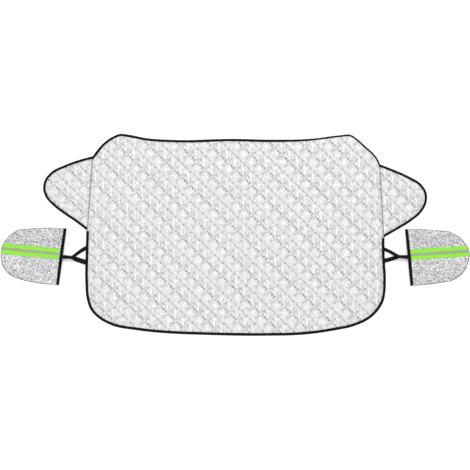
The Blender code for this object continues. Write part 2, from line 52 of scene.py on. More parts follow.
TO_STEPS = np.linalg.inv(BASIS.T)
SEAMS_APART = 0.0526            # across the seams, from one to the next
CELLS = 13                      # mesh cells from one seam crossing to the next
SECOND_ROW = 12 / 13            # every other seam lies this far on, in steps up
CROSS_SEAM = -0.317             # the seams across them, in steps down
PANEL_PIT = (-0.0151, 0.0414)   # the deepest stitched pit of one cell on each piece of cloth
LEFT_EAR_PIT = (0.0415, 0.0758)
RIGHT_EAR_PIT = (0.0319, 0.0805)
SEAM_HEIGHT = 0.0030            # cloth at the bottom of a seam
PILLOW = 0.0042                 # crown of the wadding above it
HEM_TOP = 0.0026                # the pressed cloth inside the binding
HEM_BOTTOM = 0.0011

# Stitch lines of the binding, clockwise seen from above
PANEL_TOP = [(-0.7007, 0.3744), (-0.6458, 0.4420), (-0.6027, 0.4738), (-0.5635, 0.4890),
             (-0.5243, 0.4851), (-0.4459, 0.4694), (-0.2891, 0.4591), (-0.0147, 0.4645),
             (0.1813, 0.4606), (0.3773, 0.4655), (0.5145, 0.4822), (0.5635, 0.4846),
             (0.5860, 0.4710), (0.6199, 0.4420), (0.6953, 0.3636), (0.7076, 0.3361)]
PANEL_BOTTOM = [(0.7252, -0.0088), (0.7262, -0.1068), (0.7326, -0.2244), (0.7296, -0.2832),
                (0.7218, -0.3224), (0.7007, -0.3616), (0.6635, -0.4008), (0.5733, -0.4449),
                (0.4949, -0.4621), (0.3381, -0.4841), (0.1421, -0.4900), (-0.1715, -0.4851),
                (-0.3283, -0.4787), (-0.4851, -0.4626), (-0.6027, -0.4400), (-0.6728, -0.4008),
                (-0.7076, -0.3616), (-0.7213, -0.3224), (-0.7306, -0.2244), (-0.7290, -0.1068),
                (-0.7252, 0.0255)]
LEFT_EAR = [(-0.7252, 0.0255), (-0.7835, 0.0696), (-0.8418, 0.1088), (-0.8913, 0.1480),
            (-0.9256, 0.1872), (-0.9369, 0.2264), (-0.9295, 0.2656), (-0.8967, 0.3048),
            (-0.8379, 0.3347), (-0.7595, 0.3631), (-0.7007, 0.3790)]
RIGHT_EAR = [(0.7076, 0.3396), (0.7693, 0.3156), (0.8477, 0.2808), (0.9045, 0.2460),
             (0.9305, 0.2068), (0.9344, 0.1823), (0.9281, 0.1480), (0.9036, 0.1088),
             (0.8565, 0.0696), (0.7933, 0.0304), (0.7252, -0.0088)]
HALF_TAPE = 0.005               # from a stitch line out to the tape's fold
PANEL_TAPE, EAR_TAPE = 0.0134, 0.0120
TOP_TAPE = PANEL_TAPE - 0.0014
TOP_TAPE_PULL = 0.0035          # how much narrower the top tape gets towards the right
FLAT_HEM = 0.0090               # how far in from the cloth's edge the binding presses it
BINDING_HEIGHT = 0.0038
BINDING_THICK = 0.0008

# Outlines of the cloth: how far in from the tape's fold, and from a sewn side
CLOTH_EDGE = (0.005, 0.00015)
HALF_GAP = CLOTH_EDGE[1]
HEM_INNER = (0.0005, 0.0012)    # the back's hem past the tape, and from a sewn side
BACK_EDGE = (0.0017, 0.0024)    # where the back comes down to the floor, likewise

SAMPLE = 0.004                  # between samples of an outline
STITCH = 0.0045                 # from one stitch to the next
THREAD = 0.0003                 # radius
QUILTING_THREAD = 0.0004
EAR_SEAM_LEVEL = 0.0031         # middle of the flat tape that lies over the seam of both cloths

MOUTHS = {"left": ((-0.8653, -0.2455), (-0.8281, 0.0294)),
          "right": ((0.8580, -0.2489), (0.8320, 0.0255))}
TAPES = {"left": ((-0.8526, -0.0960), (-1.1319, -0.0676)),
         "right": ((0.8502, -0.0990), (1.1368, -0.0804))}
TAPE_WIDTH = 0.050
TAPE_STITCHES = 0.0222          # from the tape's middle line
RIM_STITCHES = 0.0048           # in from the pouch's rim
PIPING_LEVEL = 0.0013
FRONT_CLOTH, BACK_CLOTH, TAPE_CLOTH, STRIP_CLOTH = 0.0008, 0.0009, 0.0004, 0.0003

# Straps: where the fold starts, where the legs cross, the x of the panel's edge, the y where each leg
# ends on it, and how much of its width each leg keeps
STRAPS = {"left": ((-0.8435, -0.1084), (-0.8046, -0.1112), -0.728, (-0.0650, -0.1362), (0.85, 1.0)),
          "right": ((0.8416, -0.1096), (0.8020, -0.1072), 0.7252, (-0.0700, -0.1275), (0.72, 0.85))}
HALF_WEB, HALF_PLY, APART = 0.0125, 0.0006, 0.0012   # half width, half thickness, half gap of the fold
OFF_FLOOR = 0.0001
ROLL_AT_POUCH, ROLL_AT_CROSSING = radians(48), radians(59)

PIXEL = 0.0049                  # what a pixel of the photograph covers on the floor
FRAME = 470                     # pixels across the photograph
LENS, SENSOR = 135, 36


# Numbers that vary over a surface

def noise(x, y, size, seed):
    """Smooth values from -1 to 1, in blobs of about a size."""
    table = np.random.default_rng(seed).uniform(-1.0, 1.0, (256, 256))
    turn = seed * 0.7
    u = (x * cos(turn) + y * sin(turn)) / size
    v = (y * cos(turn) - x * sin(turn)) / size
    i, j = np.floor(u).astype(int), np.floor(v).astype(int)
    a, b = ease(u - i), ease(v - j)
    i, j = i % 256, j % 256
    i2, j2 = (i + 1) % 256, (j + 1) % 256
    return ((table[i, j] * (1 - a) + table[i2, j] * a) * (1 - b)
            + (table[i, j2] * (1 - a) + table[i2, j2] * a) * b)


def ease(x):
    """From 0 to 1 as x does, level at both ends."""
    x = np.clip(x, 0.0, 1.0)
    return x * x * (3 - 2 * x)


def creases(x, y, size, seed):
    """Sharp folds between smooth hollows, from 0 to 1."""
    return 1 - np.abs(noise(x, y, size, seed))


# Lines in plan

def smooth(points):
    """A curve through the points, sampled."""
    pts = [np.array(p) for p in points]
    fine = []
    for i in range(len(pts) - 1):
        b, c = pts[i], pts[i + 1]
        a = pts[i - 1] if i else b * 2 - c
        d = pts[i + 2] if i + 2 < len(pts) else c * 2 - b
        ab, bc, cd = (np.linalg.norm(q) for q in (b - a, c - b, d - c))
        start = ((b - a) / ab * bc + (c - b) / bc * ab) * (bc / (ab + bc))
        end = ((c - b) / bc * cd + (d - c) / cd * bc) * (bc / (bc + cd))
        for t in np.arange(24) / 24:
            fine.append(b * (2 * t**3 - 3 * t**2 + 1) + start * (t**3 - 2 * t**2 + t)
                        + c * (3 * t**2 - 2 * t**3) + end * (t**3 - t**2))
    return resampled(np.array(fine + [pts[-1]]), SAMPLE)


def resampled(line, step=None, count=None):
    """The line with samples about a step apart, or a count of them, ends kept."""
    line = np.asarray(line, float)
    at = np.concatenate([[0], np.cumsum(np.linalg.norm(np.diff(line, axis=0), axis=1))])
    here = np.linspace(0, at[-1], count or max(2, int(round(at[-1] / step)) + 1))
    return np.stack([np.interp(here, at, line[:, k]) for k in range(line.shape[1])], axis=1)


def right_of(way):
    """Unit vectors to the right of one way or of many."""
    way = np.asarray(way)
    return np.stack([way[..., 1], -way[..., 0]], -1) / np.linalg.norm(way, axis=-1, keepdims=True)


def shifted(line, by):
    """The line moved to its right, by one distance or one for each sample."""
    return line + right_of(np.gradient(line, axis=0)) * np.reshape(by, (-1, 1))


def crossing(p, way, a, b):
    """Where the line from p along a way meets the line through a and b."""
    side = right_of(b - a)
    return p + way * (np.dot(a - p, side) / np.dot(way, side))


def to_seams(line, seam_in, seam_out):
    """The line with its two ends cut at the sewn sides or carried to them, in as many samples."""
    count, middle = len(line), line[len(line) // 2]
    for a, b in (seam_in, seam_out):
        side = right_of(b - a)
        line = line[(line - a) @ side * ((middle - a) @ side) > 0]
    start = crossing(line[0], line[1] - line[0], *seam_in)
    end = crossing(line[-1], line[-1] - line[-2], *seam_out)
    return resampled(np.concatenate([[start], line, [end]]), count=count)


top_run, bottom_run = smooth(PANEL_TOP), smooth(PANEL_BOTTOM)
left_run, right_run = smooth(LEFT_EAR), smooth(RIGHT_EAR)
left_seam = np.array([bottom_run[-1], top_run[0]])
right_seam = np.array([top_run[-1], bottom_run[0]])
END_GAP = np.array((0.0, 0.001))
bottom_run[0] = to_seams(shifted(right_run, -HALF_TAPE), right_seam, right_seam)[-1] - END_GAP
bottom_run[-1] = to_seams(shifted(left_run, -HALF_TAPE), left_seam, left_seam)[0] - END_GAP
bottom_run = resampled(np.concatenate([bottom_run[:1], bottom_run[4:-4], bottom_run[-1:]]), SAMPLE)


def panel_outline(inset, seam_inset):
    """The main panel's outline, moved in from its tape's fold and from its sewn sides."""
    left, right = shifted(left_seam, seam_inset), shifted(right_seam, seam_inset)
    top = to_seams(shifted(top_run, inset - HALF_TAPE), left, right)
    bottom = shifted(bottom_run, inset - HALF_TAPE)
    flat = np.array((1.0, 0.0))
    steps = [crossing(bottom[0], flat, *right), crossing(bottom[-1], flat, *left)]
    return joined([top, [top[-1], steps[0]], [steps[0], bottom[0]], bottom,
                   [bottom[-1], steps[1]], [steps[1], top[0]]])


def ear_outline(run, seam, inset, seam_inset):
    """An ear's outline, moved in likewise."""
    side = shifted(seam, -seam_inset)
    edge = to_seams(shifted(run, inset - HALF_TAPE), side, side)
    return joined([edge, [edge[-1], edge[0]]])


def joined(lines):
    """A closed outline of lines that follow each other, with short sides."""
    loop = np.concatenate([resampled(line, SAMPLE)[:-1] for line in lines
                           if np.linalg.norm(np.asarray(line[0]) - line[-1]) > 1e-6])
    keep = np.linalg.norm(loop - np.roll(loop, 1, axis=0), axis=1) > 0.0002
    return loop[keep]


def near(points, line):
    """Distance from each point to a line."""
    return nearest(points, resampled(line, 0.001))


def nearest(points, samples):
    """Distance from each point to the nearest of some samples."""
    tree = KDTree(len(samples))
    for k, (x, y) in enumerate(samples):
        tree.insert((x, y, 0), k)
    tree.balance()
    return np.array([tree.find((x, y, 0))[2] for x, y in points])


def inside(points, loop):
    """Whether each point lies inside a closed outline."""
    x, y = points.T
    found = np.zeros(len(points), bool)
    for (ax, ay), (bx, by) in zip(loop, np.roll(loop, -1, axis=0)):
        if ay != by:
            found ^= ((ay > y) != (by > y)) & (x < (bx - ax) * (y - ay) / (by - ay) + ax)
    return found


# Pieces

def piece(name, points, faces, look, replaces=(), sharp=50):
    """A mesh that rides on the one body, and stands for nodes of the CAD part."""
    mesh = bpy.data.meshes.new(name)
    mesh.from_pydata(np.asarray(points).tolist(), [], faces)
    mesh.update()
    mesh.shade_smooth()
    mesh.set_sharp_from_angle(angle=radians(sharp))
    mesh.materials.append(look)
    obj = bpy.data.objects.new(name, mesh)
    bpy.context.scene.collection.objects.link(obj)
    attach(obj, "root")
    if replaces:
        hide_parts(*replaces)
    return obj


def number(obj, name, values):
    """A number at each vertex, for the material."""
    obj.data.attributes.new(name, 'FLOAT', 'POINT').data.foreach_set(
        "value", np.asarray(values, np.float32))


def strips(count, wide, closed=False):
    """Quads between neighbouring lines of a grid."""
    ends = wide if closed else wide - 1
    return [(i * wide + k, i * wide + (k + 1) % wide, (i + 1) * wide + (k + 1) % wide,
             (i + 1) * wide + k) for i in range(count - 1) for k in range(ends)]


def bars(name, starts, ends, radius, look):
    """Short stitches of thread, each from a start to an end, bent into the cloth."""
    starts, ends = np.asarray(starts, float), np.asarray(ends, float)
    way = ends - starts
    up = np.array((0.0, 0.0, 1.0))
    side = np.cross(up, way)
    side /= np.linalg.norm(side, axis=1, keepdims=True)
    rings = []
    for t, size, rise in ((0.0, 0.5, -0.9), (0.5, 1.0, 0.4), (1.0, 0.5, -0.9)):
        middle = starts + way * t + up * (radius * rise)
        for k in range(4):
            a = pi / 4 + k * pi / 2
            rings.append(middle + (side * cos(a) + up * sin(a)) * (radius * size))
    points = np.stack(rings, axis=1).reshape(-1, 3)
    one = strips(3, 4, closed=True) + [(3, 2, 1, 0), (8, 9, 10, 11)]
    faces = [tuple(12 * n + k for k in face) for n in range(len(starts)) for face in one]
    piece(name, points, faces, look, sharp=180)


def sewn(name, lines, share, look, pitch=STITCH):
    """Stitches along lines in space: one each pitch, as long as a share of it."""
    starts, ends = [], []
    for line in lines:
        line = resampled(line, pitch)
        starts.append(line[:-1])
        ends.append(line[:-1] + (line[1:] - line[:-1]) * share)
    bars(name, np.concatenate(starts), np.concatenate(ends), THREAD, look)


def tube(name, line, wide, high, look):
    """A round or flat piping along a line in space."""
    sides = 10
    line = np.asarray(line, float)
    across = np.zeros_like(line)
    across[:, :2] = right_of(np.gradient(line[:, :2], axis=0))
    up = np.array((0.0, 0.0, 1.0))
    rows = [line + across * (wide * cos(a)) + up * (high * sin(a))
            for a in (2 * pi * k / sides for k in range(sides))]
    points = np.stack(rows, axis=1).reshape(-1, 3)
    last = (len(line) - 1) * sides
    faces = strips(len(line), sides, closed=True)
    faces += [tuple(range(sides))[::-1], tuple(range(last, last + sides))]
    piece(name, points, faces, look, sharp=60)


def laid(line, points, lift):
    """The line in plan, laid on the nearest of some points in space."""
    tree = KDTree(len(points))
    for k, (x, y, _) in enumerate(points):
        tree.insert((x, y, 0), k)
    tree.balance()
    level = [points[tree.find((x, y, 0))[1]][2] + lift for x, y in line]
    return np.column_stack([line, level])


# Materials

class Look:
    """A material made of nodes round one Principled shader."""

    def __init__(self, name, metallic=0.0, roughness=0.6, specular=0.5):
        self.material = bpy.data.materials.new(name)
        self.material.use_nodes = True
        self.tree = self.material.node_tree
        self.shader = self.tree.nodes["Principled BSDF"]
        self.shader.inputs["Metallic"].default_value = metallic
        self.shader.inputs["Roughness"].default_value = roughness
        self.shader.inputs["Specular IOR Level"].default_value = specular
        self.place = self.node("ShaderNodeTexCoord").outputs["Object"]

    def node(self, kind, **settings):
        """A new node, with its settings."""
        made = self.tree.nodes.new(kind)
        for key, value in settings.items():
            setattr(made, key, value)
        return made

    def wire(self, value, socket):
        """Links a socket to another, or sets it to a plain value."""
        if isinstance(value, bpy.types.NodeSocket):
            self.tree.links.new(value, socket)
        else:
            socket.default_value = value

    def math(self, operation, *values):
        """One step of arithmetic on numbers and sockets."""
        made = self.node("ShaderNodeMath", operation=operation)
        for value, socket in zip(values, made.inputs):
            self.wire(value, socket)
        return made.outputs[0]

    def noise(self, size, detail=2.0, rough=0.55, colour=False):
        """Noise with blobs of a size in metres."""
        made = self.node("ShaderNodeTexNoise")
        made.inputs["Scale"].default_value = 1 / size
        made.inputs["Detail"].default_value = detail
        made.inputs["Roughness"].default_value = rough
        self.wire(self.place, made.inputs["Vector"])
        return made.outputs["Color" if colour else "Fac"]

    def turned(self, turn):
        """The place on the object, turned about the upright axis."""
        made = self.node("ShaderNodeMapping")
        made.inputs["Rotation"].default_value = (0, 0, turn)
        self.wire(self.place, made.inputs["Vector"])
        return made.outputs["Vector"]

    def cells(self, size, vector, feature='F1', output="Distance"):
        """Cells of about a size in metres, at the places that a vector gives."""
        made = self.node("ShaderNodeTexVoronoi", feature=feature)
        made.inputs["Scale"].default_value = 1 / size
        self.wire(vector, made.inputs["Vector"])
        return made.outputs[output]

    def waves(self, size, vector=None, axis='X'):
        """Straight waves, with a size in metres from one to the next."""
        made = self.node("ShaderNodeTexWave", wave_type='BANDS', bands_direction=axis)
        made.inputs["Scale"].default_value = 0.314 / size
        self.wire(vector or self.place, made.inputs["Vector"])
        return made.outputs["Fac"]

    def spread(self, value, low, high, from_low=0.0, from_high=1.0):
        """The value, carried from one range to another."""
        made = self.node("ShaderNodeMapRange")
        for socket, given in zip(made.inputs, (value, from_low, from_high, low, high)):
            self.wire(given, socket)
        return made.outputs[0]

    def attribute(self, name):
        """A number that the mesh carries at each vertex."""
        return self.node("ShaderNodeAttribute", attribute_name=name).outputs["Fac"]

    def scaled(self, colour, factor):
        """A colour times a number that varies."""
        made = self.node("ShaderNodeMix", data_type='RGBA', blend_type='MULTIPLY')
        made.inputs["Factor"].default_value = 1.0
        self.wire(colour, made.inputs["A"])
        self.wire(factor, made.inputs["B"])
        return made.outputs["Result"]

    def blended(self, colour_a, colour_b, factor):
        """From one colour to another as the factor goes from 0 to 1."""
        made = self.node("ShaderNodeMix", data_type='RGBA')
        self.wire(factor, made.inputs["Factor"])
        self.wire(colour_a, made.inputs["A"])
        self.wire(colour_b, made.inputs["B"])
        return made.outputs["Result"]

    def finish(self, colour, bumps=(), roughness=None):
        """Puts the colour, roughness and bumps of (height, depth in metres) on the shader."""
        self.wire(colour, self.shader.inputs["Base Color"])
        if roughness is not None:
            self.wire(roughness, self.shader.inputs["Roughness"])
        normal = None
        for height, depth in bumps:
            made = self.node("ShaderNodeBump")
            made.inputs["Distance"].default_value = depth
            self.wire(height, made.inputs["Height"])
            if normal:
                self.wire(normal, made.inputs["Normal"])
            normal = made.outputs["Normal"]
        if normal:
            self.wire(normal, self.shader.inputs["Normal"])
        return self.material


def foil(name, shade, facets, tint):
    """Crinkled silver foil: a factor at each vertex, partly painted shade and highlights, scales its
    colour; small facets catch the light by their bumps and by a painted lightness of each, and fine
    crinkles are painted lighter on their tops.
    """
    look = Look(name, metallic=0.35, specular=0.25)
    facet_size = 0.0046
    fine = look.noise(0.0030, detail=2, rough=0.6)
    bent = look.node("ShaderNodeVectorMath", operation='MULTIPLY_ADD')
    look.wire(look.noise(0.0045, colour=True), bent.inputs[0])
    bent.inputs[1].default_value = (0.004, 0.004, 0.004)
    look.wire(look.place, bent.inputs[2])
    facet = look.cells(facet_size, bent.outputs[0], output="Color")
    crease = look.cells(facet_size, bent.outputs[0], 'DISTANCE_TO_EDGE')
    catch = look.node("ShaderNodeSeparateColor")
    look.wire(facet, catch.inputs["Color"])
    # Painted highlight and shade: each facet is a little lighter or darker, as if it caught the light,
    # on top of the factor at each vertex
    factor = look.math('MULTIPLY', look.attribute("tone_and_painted_light"),
                      look.spread(catch.outputs["Red"], 1 - facets, 1 + facets))
    # Painted shade: the fine crinkles are lighter where the same noise raises them and darker in their
    # dips
    factor = look.math('MULTIPLY', factor, look.spread(fine, 1 - facets, 1 + facets, 0.25, 0.75))
    silver = (shade * 0.993, shade * 0.997, shade * 1.012, 1)
    cast = look.blended((1, 1, 1, 1), look.blended(facet, (0.5, 0.5, 0.6, 1), 0.4), tint)
    colour = look.scaled(look.scaled(silver, factor), cast)
    rough = look.spread(catch.outputs["Green"], 0.32, 0.58)
    weave = look.math('ADD', look.waves(0.0016), look.waves(0.0016, axis='Y'))
    bumps = [(crease, 0.0012), (catch.outputs["Blue"], 0.0003), (fine, 0.0006), (weave, 0.00006)]
    return look.finish(colour, bumps, rough)


def cloth(name, colour, rib=0.0012, bump=0.0002, rough=0.8, vary=0.25, gloss=0.25):
    """Woven tape: ribs both ways and an uneven colour."""
    look = Look(name, roughness=rough, specular=gloss)
    weave = look.math('ADD', look.waves(rib, axis='DIAGONAL'),
                     look.waves(rib, look.turned(pi / 2), axis='DIAGONAL'))
    blotch = look.noise(0.02, detail=4)
    # Painted shade: the colour is darker in the low parts of the weave, from the same waves as its
    # bumps; the blotches are uneven colour
    factor = look.math('MULTIPLY', look.spread(blotch, 1 - vary, 1 + vary, 0.3, 0.7),
                      look.spread(weave, 0.85, 1.1, 0.0, 2.0))
    return look.finish(look.scaled((*colour, 1), factor), [(weave, bump)],
                       look.spread(blotch, rough - 0.08, rough + 0.08))


def webbing_look(name, colour, ribs):
    """Black webbing: ribs along it and a fine cross weave, from the ribbon's own numbers."""
    look = Look(name, roughness=0.75, specular=0.08)
    across = look.math('MULTIPLY', look.attribute("across"), ribs * 2 * pi)
    rib = look.spread(look.math('COSINE', across), 0, 1, -1, 1)
    along = look.math('MULTIPLY', look.attribute("along"), 2 * pi / 0.0014)
    pick = look.spread(look.math('SINE', along), 0, 1, -1, 1)
    # Painted shade: darker between the ribs and between the picks, from the same waves as their bumps
    factor = look.math('MULTIPLY', look.spread(rib, 0.6, 1.2), look.spread(pick, 0.8, 1.1))
    return look.finish(look.scaled((*colour, 1), factor), [(rib, 0.0004), (pick, 0.00015)])


quilted_foil = foil("quilted_foil", 0.622, 0.18, 0.03)
pouch_foil = foil("pouch_foil", 0.482, 0.50, 0.14)
black_tape = cloth("black_tape", (0.006, 0.006, 0.0065), gloss=0.06)
black_web = webbing_look("black_webbing", (0.007, 0.007, 0.0075), 7)
band_web = cloth("black_elastic", (0.006, 0.006, 0.0065), rib=0.0016, bump=0.0004, gloss=0.06)
hi_vis_thread = cloth("hi_vis_thread", (0.35, 0.80, 0.08), rib=0.0004, bump=0.0001, vary=0.1)
black_thread = cloth("black_thread", (0.012, 0.012, 0.013), rib=0.0004, bump=0.0001, gloss=0.15)
grey_thread = cloth("grey_thread", (0.30, 0.30, 0.31), rib=0.0004, bump=0.0001, vary=0.1)
seam_tape = cloth("seam_tape", (0.24, 0.24, 0.25), rib=0.001, bump=0.0001, vary=0.1)
piping = cloth("piping", (0.11, 0.11, 0.115), rib=0.001, bump=0.0001, vary=0.15)
# Painted shade: a darker grey for the pouch's lower piping
painted_shade_piping = cloth("painted_shade_piping", (0.035, 0.035, 0.037), rib=0.001, bump=0.0001, vary=0.15)
silver_thread = cloth("silver_thread", (0.32, 0.32, 0.33), rib=0.0004, bump=0.0001, vary=0.1)
hi_vis = cloth("hi_vis", (0.235, 0.66, 0.035), rib=0.001, bump=0.00008, rough=0.55, vary=0.04)
reflective = cloth("reflective", (0.29, 0.32, 0.24), rib=0.0008, bump=0.00006, rough=0.4, vary=0.08)
quilt_back = cloth("quilt_back", (0.62, 0.62, 0.63), rib=0.002, bump=0.0002, vary=0.06)


# Quilted cloth: what each cell has, from its deepest pit, in millimetres: place, turn in degrees,
# half length, half width, height and how much lighter or darker: painted shade in the pits and
# seams, painted highlights on the folds and the crown
MARKS = [
    (0.0, 0.0, 0, 4.4, 4.4, -2.2, -0.80),       # the pit
    (9.6, -12.0, 71, 7.5, 3.4, -1.6, -0.62),    # its neighbour down the seam
    (-10.0, 10.8, 45, 8.0, 3.2, -1.0, -0.42),   # and up the seam
    (-22.0, 9.3, -40, 7.0, 2.6, -0.5, -0.22),
    (1.5, 13.6, -50, 7.0, 2.6, 0.5, 0.26),      # folds between the rows
    (5.3, 20.8, -55, 11.0, 2.6, -0.6, -0.30),
    (17.6, 9.5, 93, 16.0, 2.8, 0.7, 0.30),      # the upright fold
    (13.3, 35.0, 60, 6.0, 5.0, 0.3, 0.12),
    (25.2, 7.5, 88, 8.0, 3.0, -0.6, -0.34),
    (-14.0, -19.0, -43, 12.0, 8.0, 0.4, 0.10),  # the crown beside the pits
    (-35.3, 1.4, 40, 13.0, 2.7, -0.6, -0.44),   # the seam across
    (-1.0, 30.5, 38, 13.0, 2.7, -0.5, -0.38),
    (46.0, 25.0, -48, 14.0, 2.8, -0.8, -0.42),  # the other row
    (65.0, 4.6, 50, 6.0, 4.4, -1.2, -0.48),
    (24.0, -8.5, 42, 11.0, 2.6, -0.4, -0.26),   # strokes between it and the pits
    (-6.0, -33.0, 45, 7.0, 3.0, -0.3, -0.18),
    (36.0, 14.0, -45, 7.0, 4.0, 0.3, -0.14),
    (60.0, 24.0, 45, 9.0, 5.0, 0.3, 0.10),
]


def crown(away):
    """How full the wadding is at a distance from a seam."""
    return 0.2 * (1 - np.exp(-away / 0.005)) + 0.8 * np.sin(np.minimum(away / 0.026, 1) * pi / 2)


def quilting(x, y, pit):
    """Height of the cloth at points of the plan, and a factor on its colour: painted shade in the seams
    and pits, painted highlights on the folds.
    """
    s, t = TO_STEPS @ np.stack([x - pit[0], y - pit[1]])
    row = np.minimum(np.abs(s - 2 * np.round(s / 2)),
                     np.abs(s - SECOND_ROW - 2 * np.round((s - SECOND_ROW) / 2)))
    side = np.abs(t - CROSS_SEAM - np.round(t - CROSS_SEAM))
    off_row, off_side = row * SEAMS_APART, side * SEAMS_APART
    along_rows = crown(off_row)
    across = 0.2 + 0.8 * crown(off_side)
    height = SEAM_HEIGHT + PILLOW * along_rows * across
    # Painted shade: the colour is darker along the bottoms of the seams
    tone_and_painted_light = 1 - 0.05 * np.exp(-(off_row / 0.003) ** 2) - 0.03 * np.exp(-(off_side / 0.003) ** 2)
    for k, (mx, my, turn, long, wide, rise, shade) in enumerate(MARKS):
        at = TO_STEPS @ np.array((mx, my)) / 1000
        ds = s - at[0] - 2 * np.round((s - at[0]) / 2)
        dt = t - at[1] - np.round(t - at[1])
        dx, dy = (STEP_UP[:, None] * ds + STEP_DOWN[:, None] * dt) * 1000
        dx = dx + 0.6 * noise(x, y, 0.045, 11)
        dy = dy + 0.6 * noise(x, y, 0.045, 12)
        a = radians(turn)
        u, v = dx * cos(a) + dy * sin(a), dy * cos(a) - dx * sin(a)
        mark = np.exp(-(u / long) ** 4 - (v / wide) ** 2)
        strength = 1 + 0.15 * noise(x, y, 0.05, 20 + k)
        height += rise / 1000 * mark * strength
        tone_and_painted_light += shade * mark * strength
    crinkle = (0.0003 * noise(x, y, 0.018, 31) + 0.0003 * creases(x, y, 0.012, 32)
               + 0.0003 * noise(x, y, 0.007, 33))
    strokes = noise(x - y, (x + y) * 2.6, 0.014, 36)
    tone_and_painted_light += 0.03 * noise(x, y, 0.006, 34) + 0.04 * strokes
    return height + crinkle, tone_and_painted_light


def filled(plan, edges, n):
    """Points and triangles that fill a plan whose first n points are its outline."""
    points, _, faces, *_ = delaunay_2d_cdt([Vector(p) for p in plan], edges, [list(range(n))], 1, 1e-7)
    return points, faces


def quilted(name, outline, hem_in, hem_out, seams, pit):
    """The quilted cloth of one outline: pillows above, a flat back, and a thin hem."""
    # The face: a grid along the seams of the quilting, cut to the outline
    low, high = outline.min(axis=0), outline.max(axis=0)
    corners = np.array([(x, y) for x in (low[0], high[0]) for y in (low[1], high[1])])
    corners = TO_STEPS @ (corners - pit).T
    first, last = np.floor(corners.min(axis=1)), np.ceil(corners.max(axis=1))
    s, t = np.meshgrid(np.arange(first[0] * CELLS, last[0] * CELLS) / CELLS,
                       np.arange(first[1] * CELLS, last[1] * CELLS) / CELLS + CROSS_SEAM)
    grid = np.stack([s.ravel(), t.ravel()], 1) @ BASIS + pit
    grid = grid[((grid > low) & (grid < high)).all(axis=1)]
    grid = grid[inside(grid, outline)]
    closed = np.concatenate([outline, outline[:1]])
    grid = grid[near(grid, closed) > 0.0022]
    n = len(outline)
    plan = np.concatenate([outline, grid])
    rim = [(i, (i + 1) % n) for i in range(n)]
    found, faces = filled(plan, rim, n)
    plan = np.array([tuple(p) for p in found])
    x, y = plan.T
    height, tone_and_painted_light = quilting(x, y, pit)
    # It comes down to a flat hem at the free edges, and to the seam at the sewn ones
    border = resampled(closed, 0.001)
    free = border[np.min([near(border, line) for line in seams], axis=0) > 0.001]
    edge = nearest(plan, free)
    seam = np.min([near(plan, line) for line in seams], axis=0)
    rise = ease((edge - FLAT_HEM) / 0.022) ** 0.6
    by_seam = ease((seam - 0.001) / 0.014) ** 0.7
    pucker = 0.0006 * noise(x, y, 0.012, 41) * ease((edge - FLAT_HEM) / 0.006) * by_seam
    height = HEM_TOP + (height - HEM_TOP) * np.minimum(rise, by_seam) + pucker
    height = np.where(edge < FLAT_HEM, np.minimum(height, HEM_TOP), height)
    # Painted shade: the colour is darker where the cloth dips to the hem and beside the sewn seam
    tone_and_painted_light = tone_and_painted_light * (1 - 0.12 * np.exp(-((edge - FLAT_HEM) / 0.003) ** 2)
                   - 0.10 * np.exp(-(seam / 0.004) ** 2))
    top = np.stack([x, y, height], 1)
    # The back: flat on the floor, with the hem lifted into the binding
    loops = [outline, hem_in, hem_out]
    heights = (HEM_BOTTOM, HEM_BOTTOM, 0)
    levels = np.concatenate([np.full(len(loop), z) for loop, z in zip(loops, heights)])
    flat = np.concatenate(loops)
    edges, first = [], 0
    for loop in loops:
        edges += [(first + i, first + (i + 1) % len(loop)) for i in range(len(loop))]
        first += len(loop)
    back_plan, back = filled(flat, edges, n)
    level = dict(zip([(round(a, 6), round(b, 6)) for a, b in flat], levels))
    under = np.array([(p.x, p.y, level.get((round(p.x, 6), round(p.y, 6)), 0.0))
                      for p in back_plan])
    lift = len(top)
    walls = [(i, lift + i, lift + (i + 1) % n, (i + 1) % n) for i in range(n)]
    all_faces = list(faces) + [tuple(lift + k for k in reversed(f)) for f in back] + walls
    obj = piece(name, np.concatenate([top, under]), all_faces, quilted_foil,
                [name.rsplit("_", 1)[0]])
    number(obj, "tone_and_painted_light", np.concatenate([tone_and_painted_light, np.ones(len(under))]))
    obj.data.materials.append(quilt_back)
    marks = np.zeros(len(all_faces), np.int32)
    marks[len(faces):len(faces) + len(back)] = 1
    obj.data.polygons.foreach_set("material_index", marks)
    return obj


def past(tape, inset):
    """An inset that is counted from the inner edge of the tape."""
    return tape + inset[0], inset[1]


panel_edge = panel_outline(*CLOTH_EDGE)
panel = quilted("main_panel_cloth", panel_edge, panel_outline(*past(PANEL_TAPE, HEM_INNER)),
                panel_outline(*past(PANEL_TAPE, BACK_EDGE)), [left_seam, right_seam], PANEL_PIT)
ears, ear_edges = {}, {}
EARS = (("left", left_run, left_seam, LEFT_EAR_PIT), ("right", right_run, right_seam, RIGHT_EAR_PIT))
for side, run, seam, pit in EARS:
    ear_edges[side] = ear_outline(run, seam, *CLOTH_EDGE)
    ears[side] = quilted(side + "_ear_cloth", ear_edges[side],
                         ear_outline(run, seam, *past(EAR_TAPE, HEM_INNER)),
                         ear_outline(run, seam, *past(EAR_TAPE, BACK_EDGE)), [seam], pit)


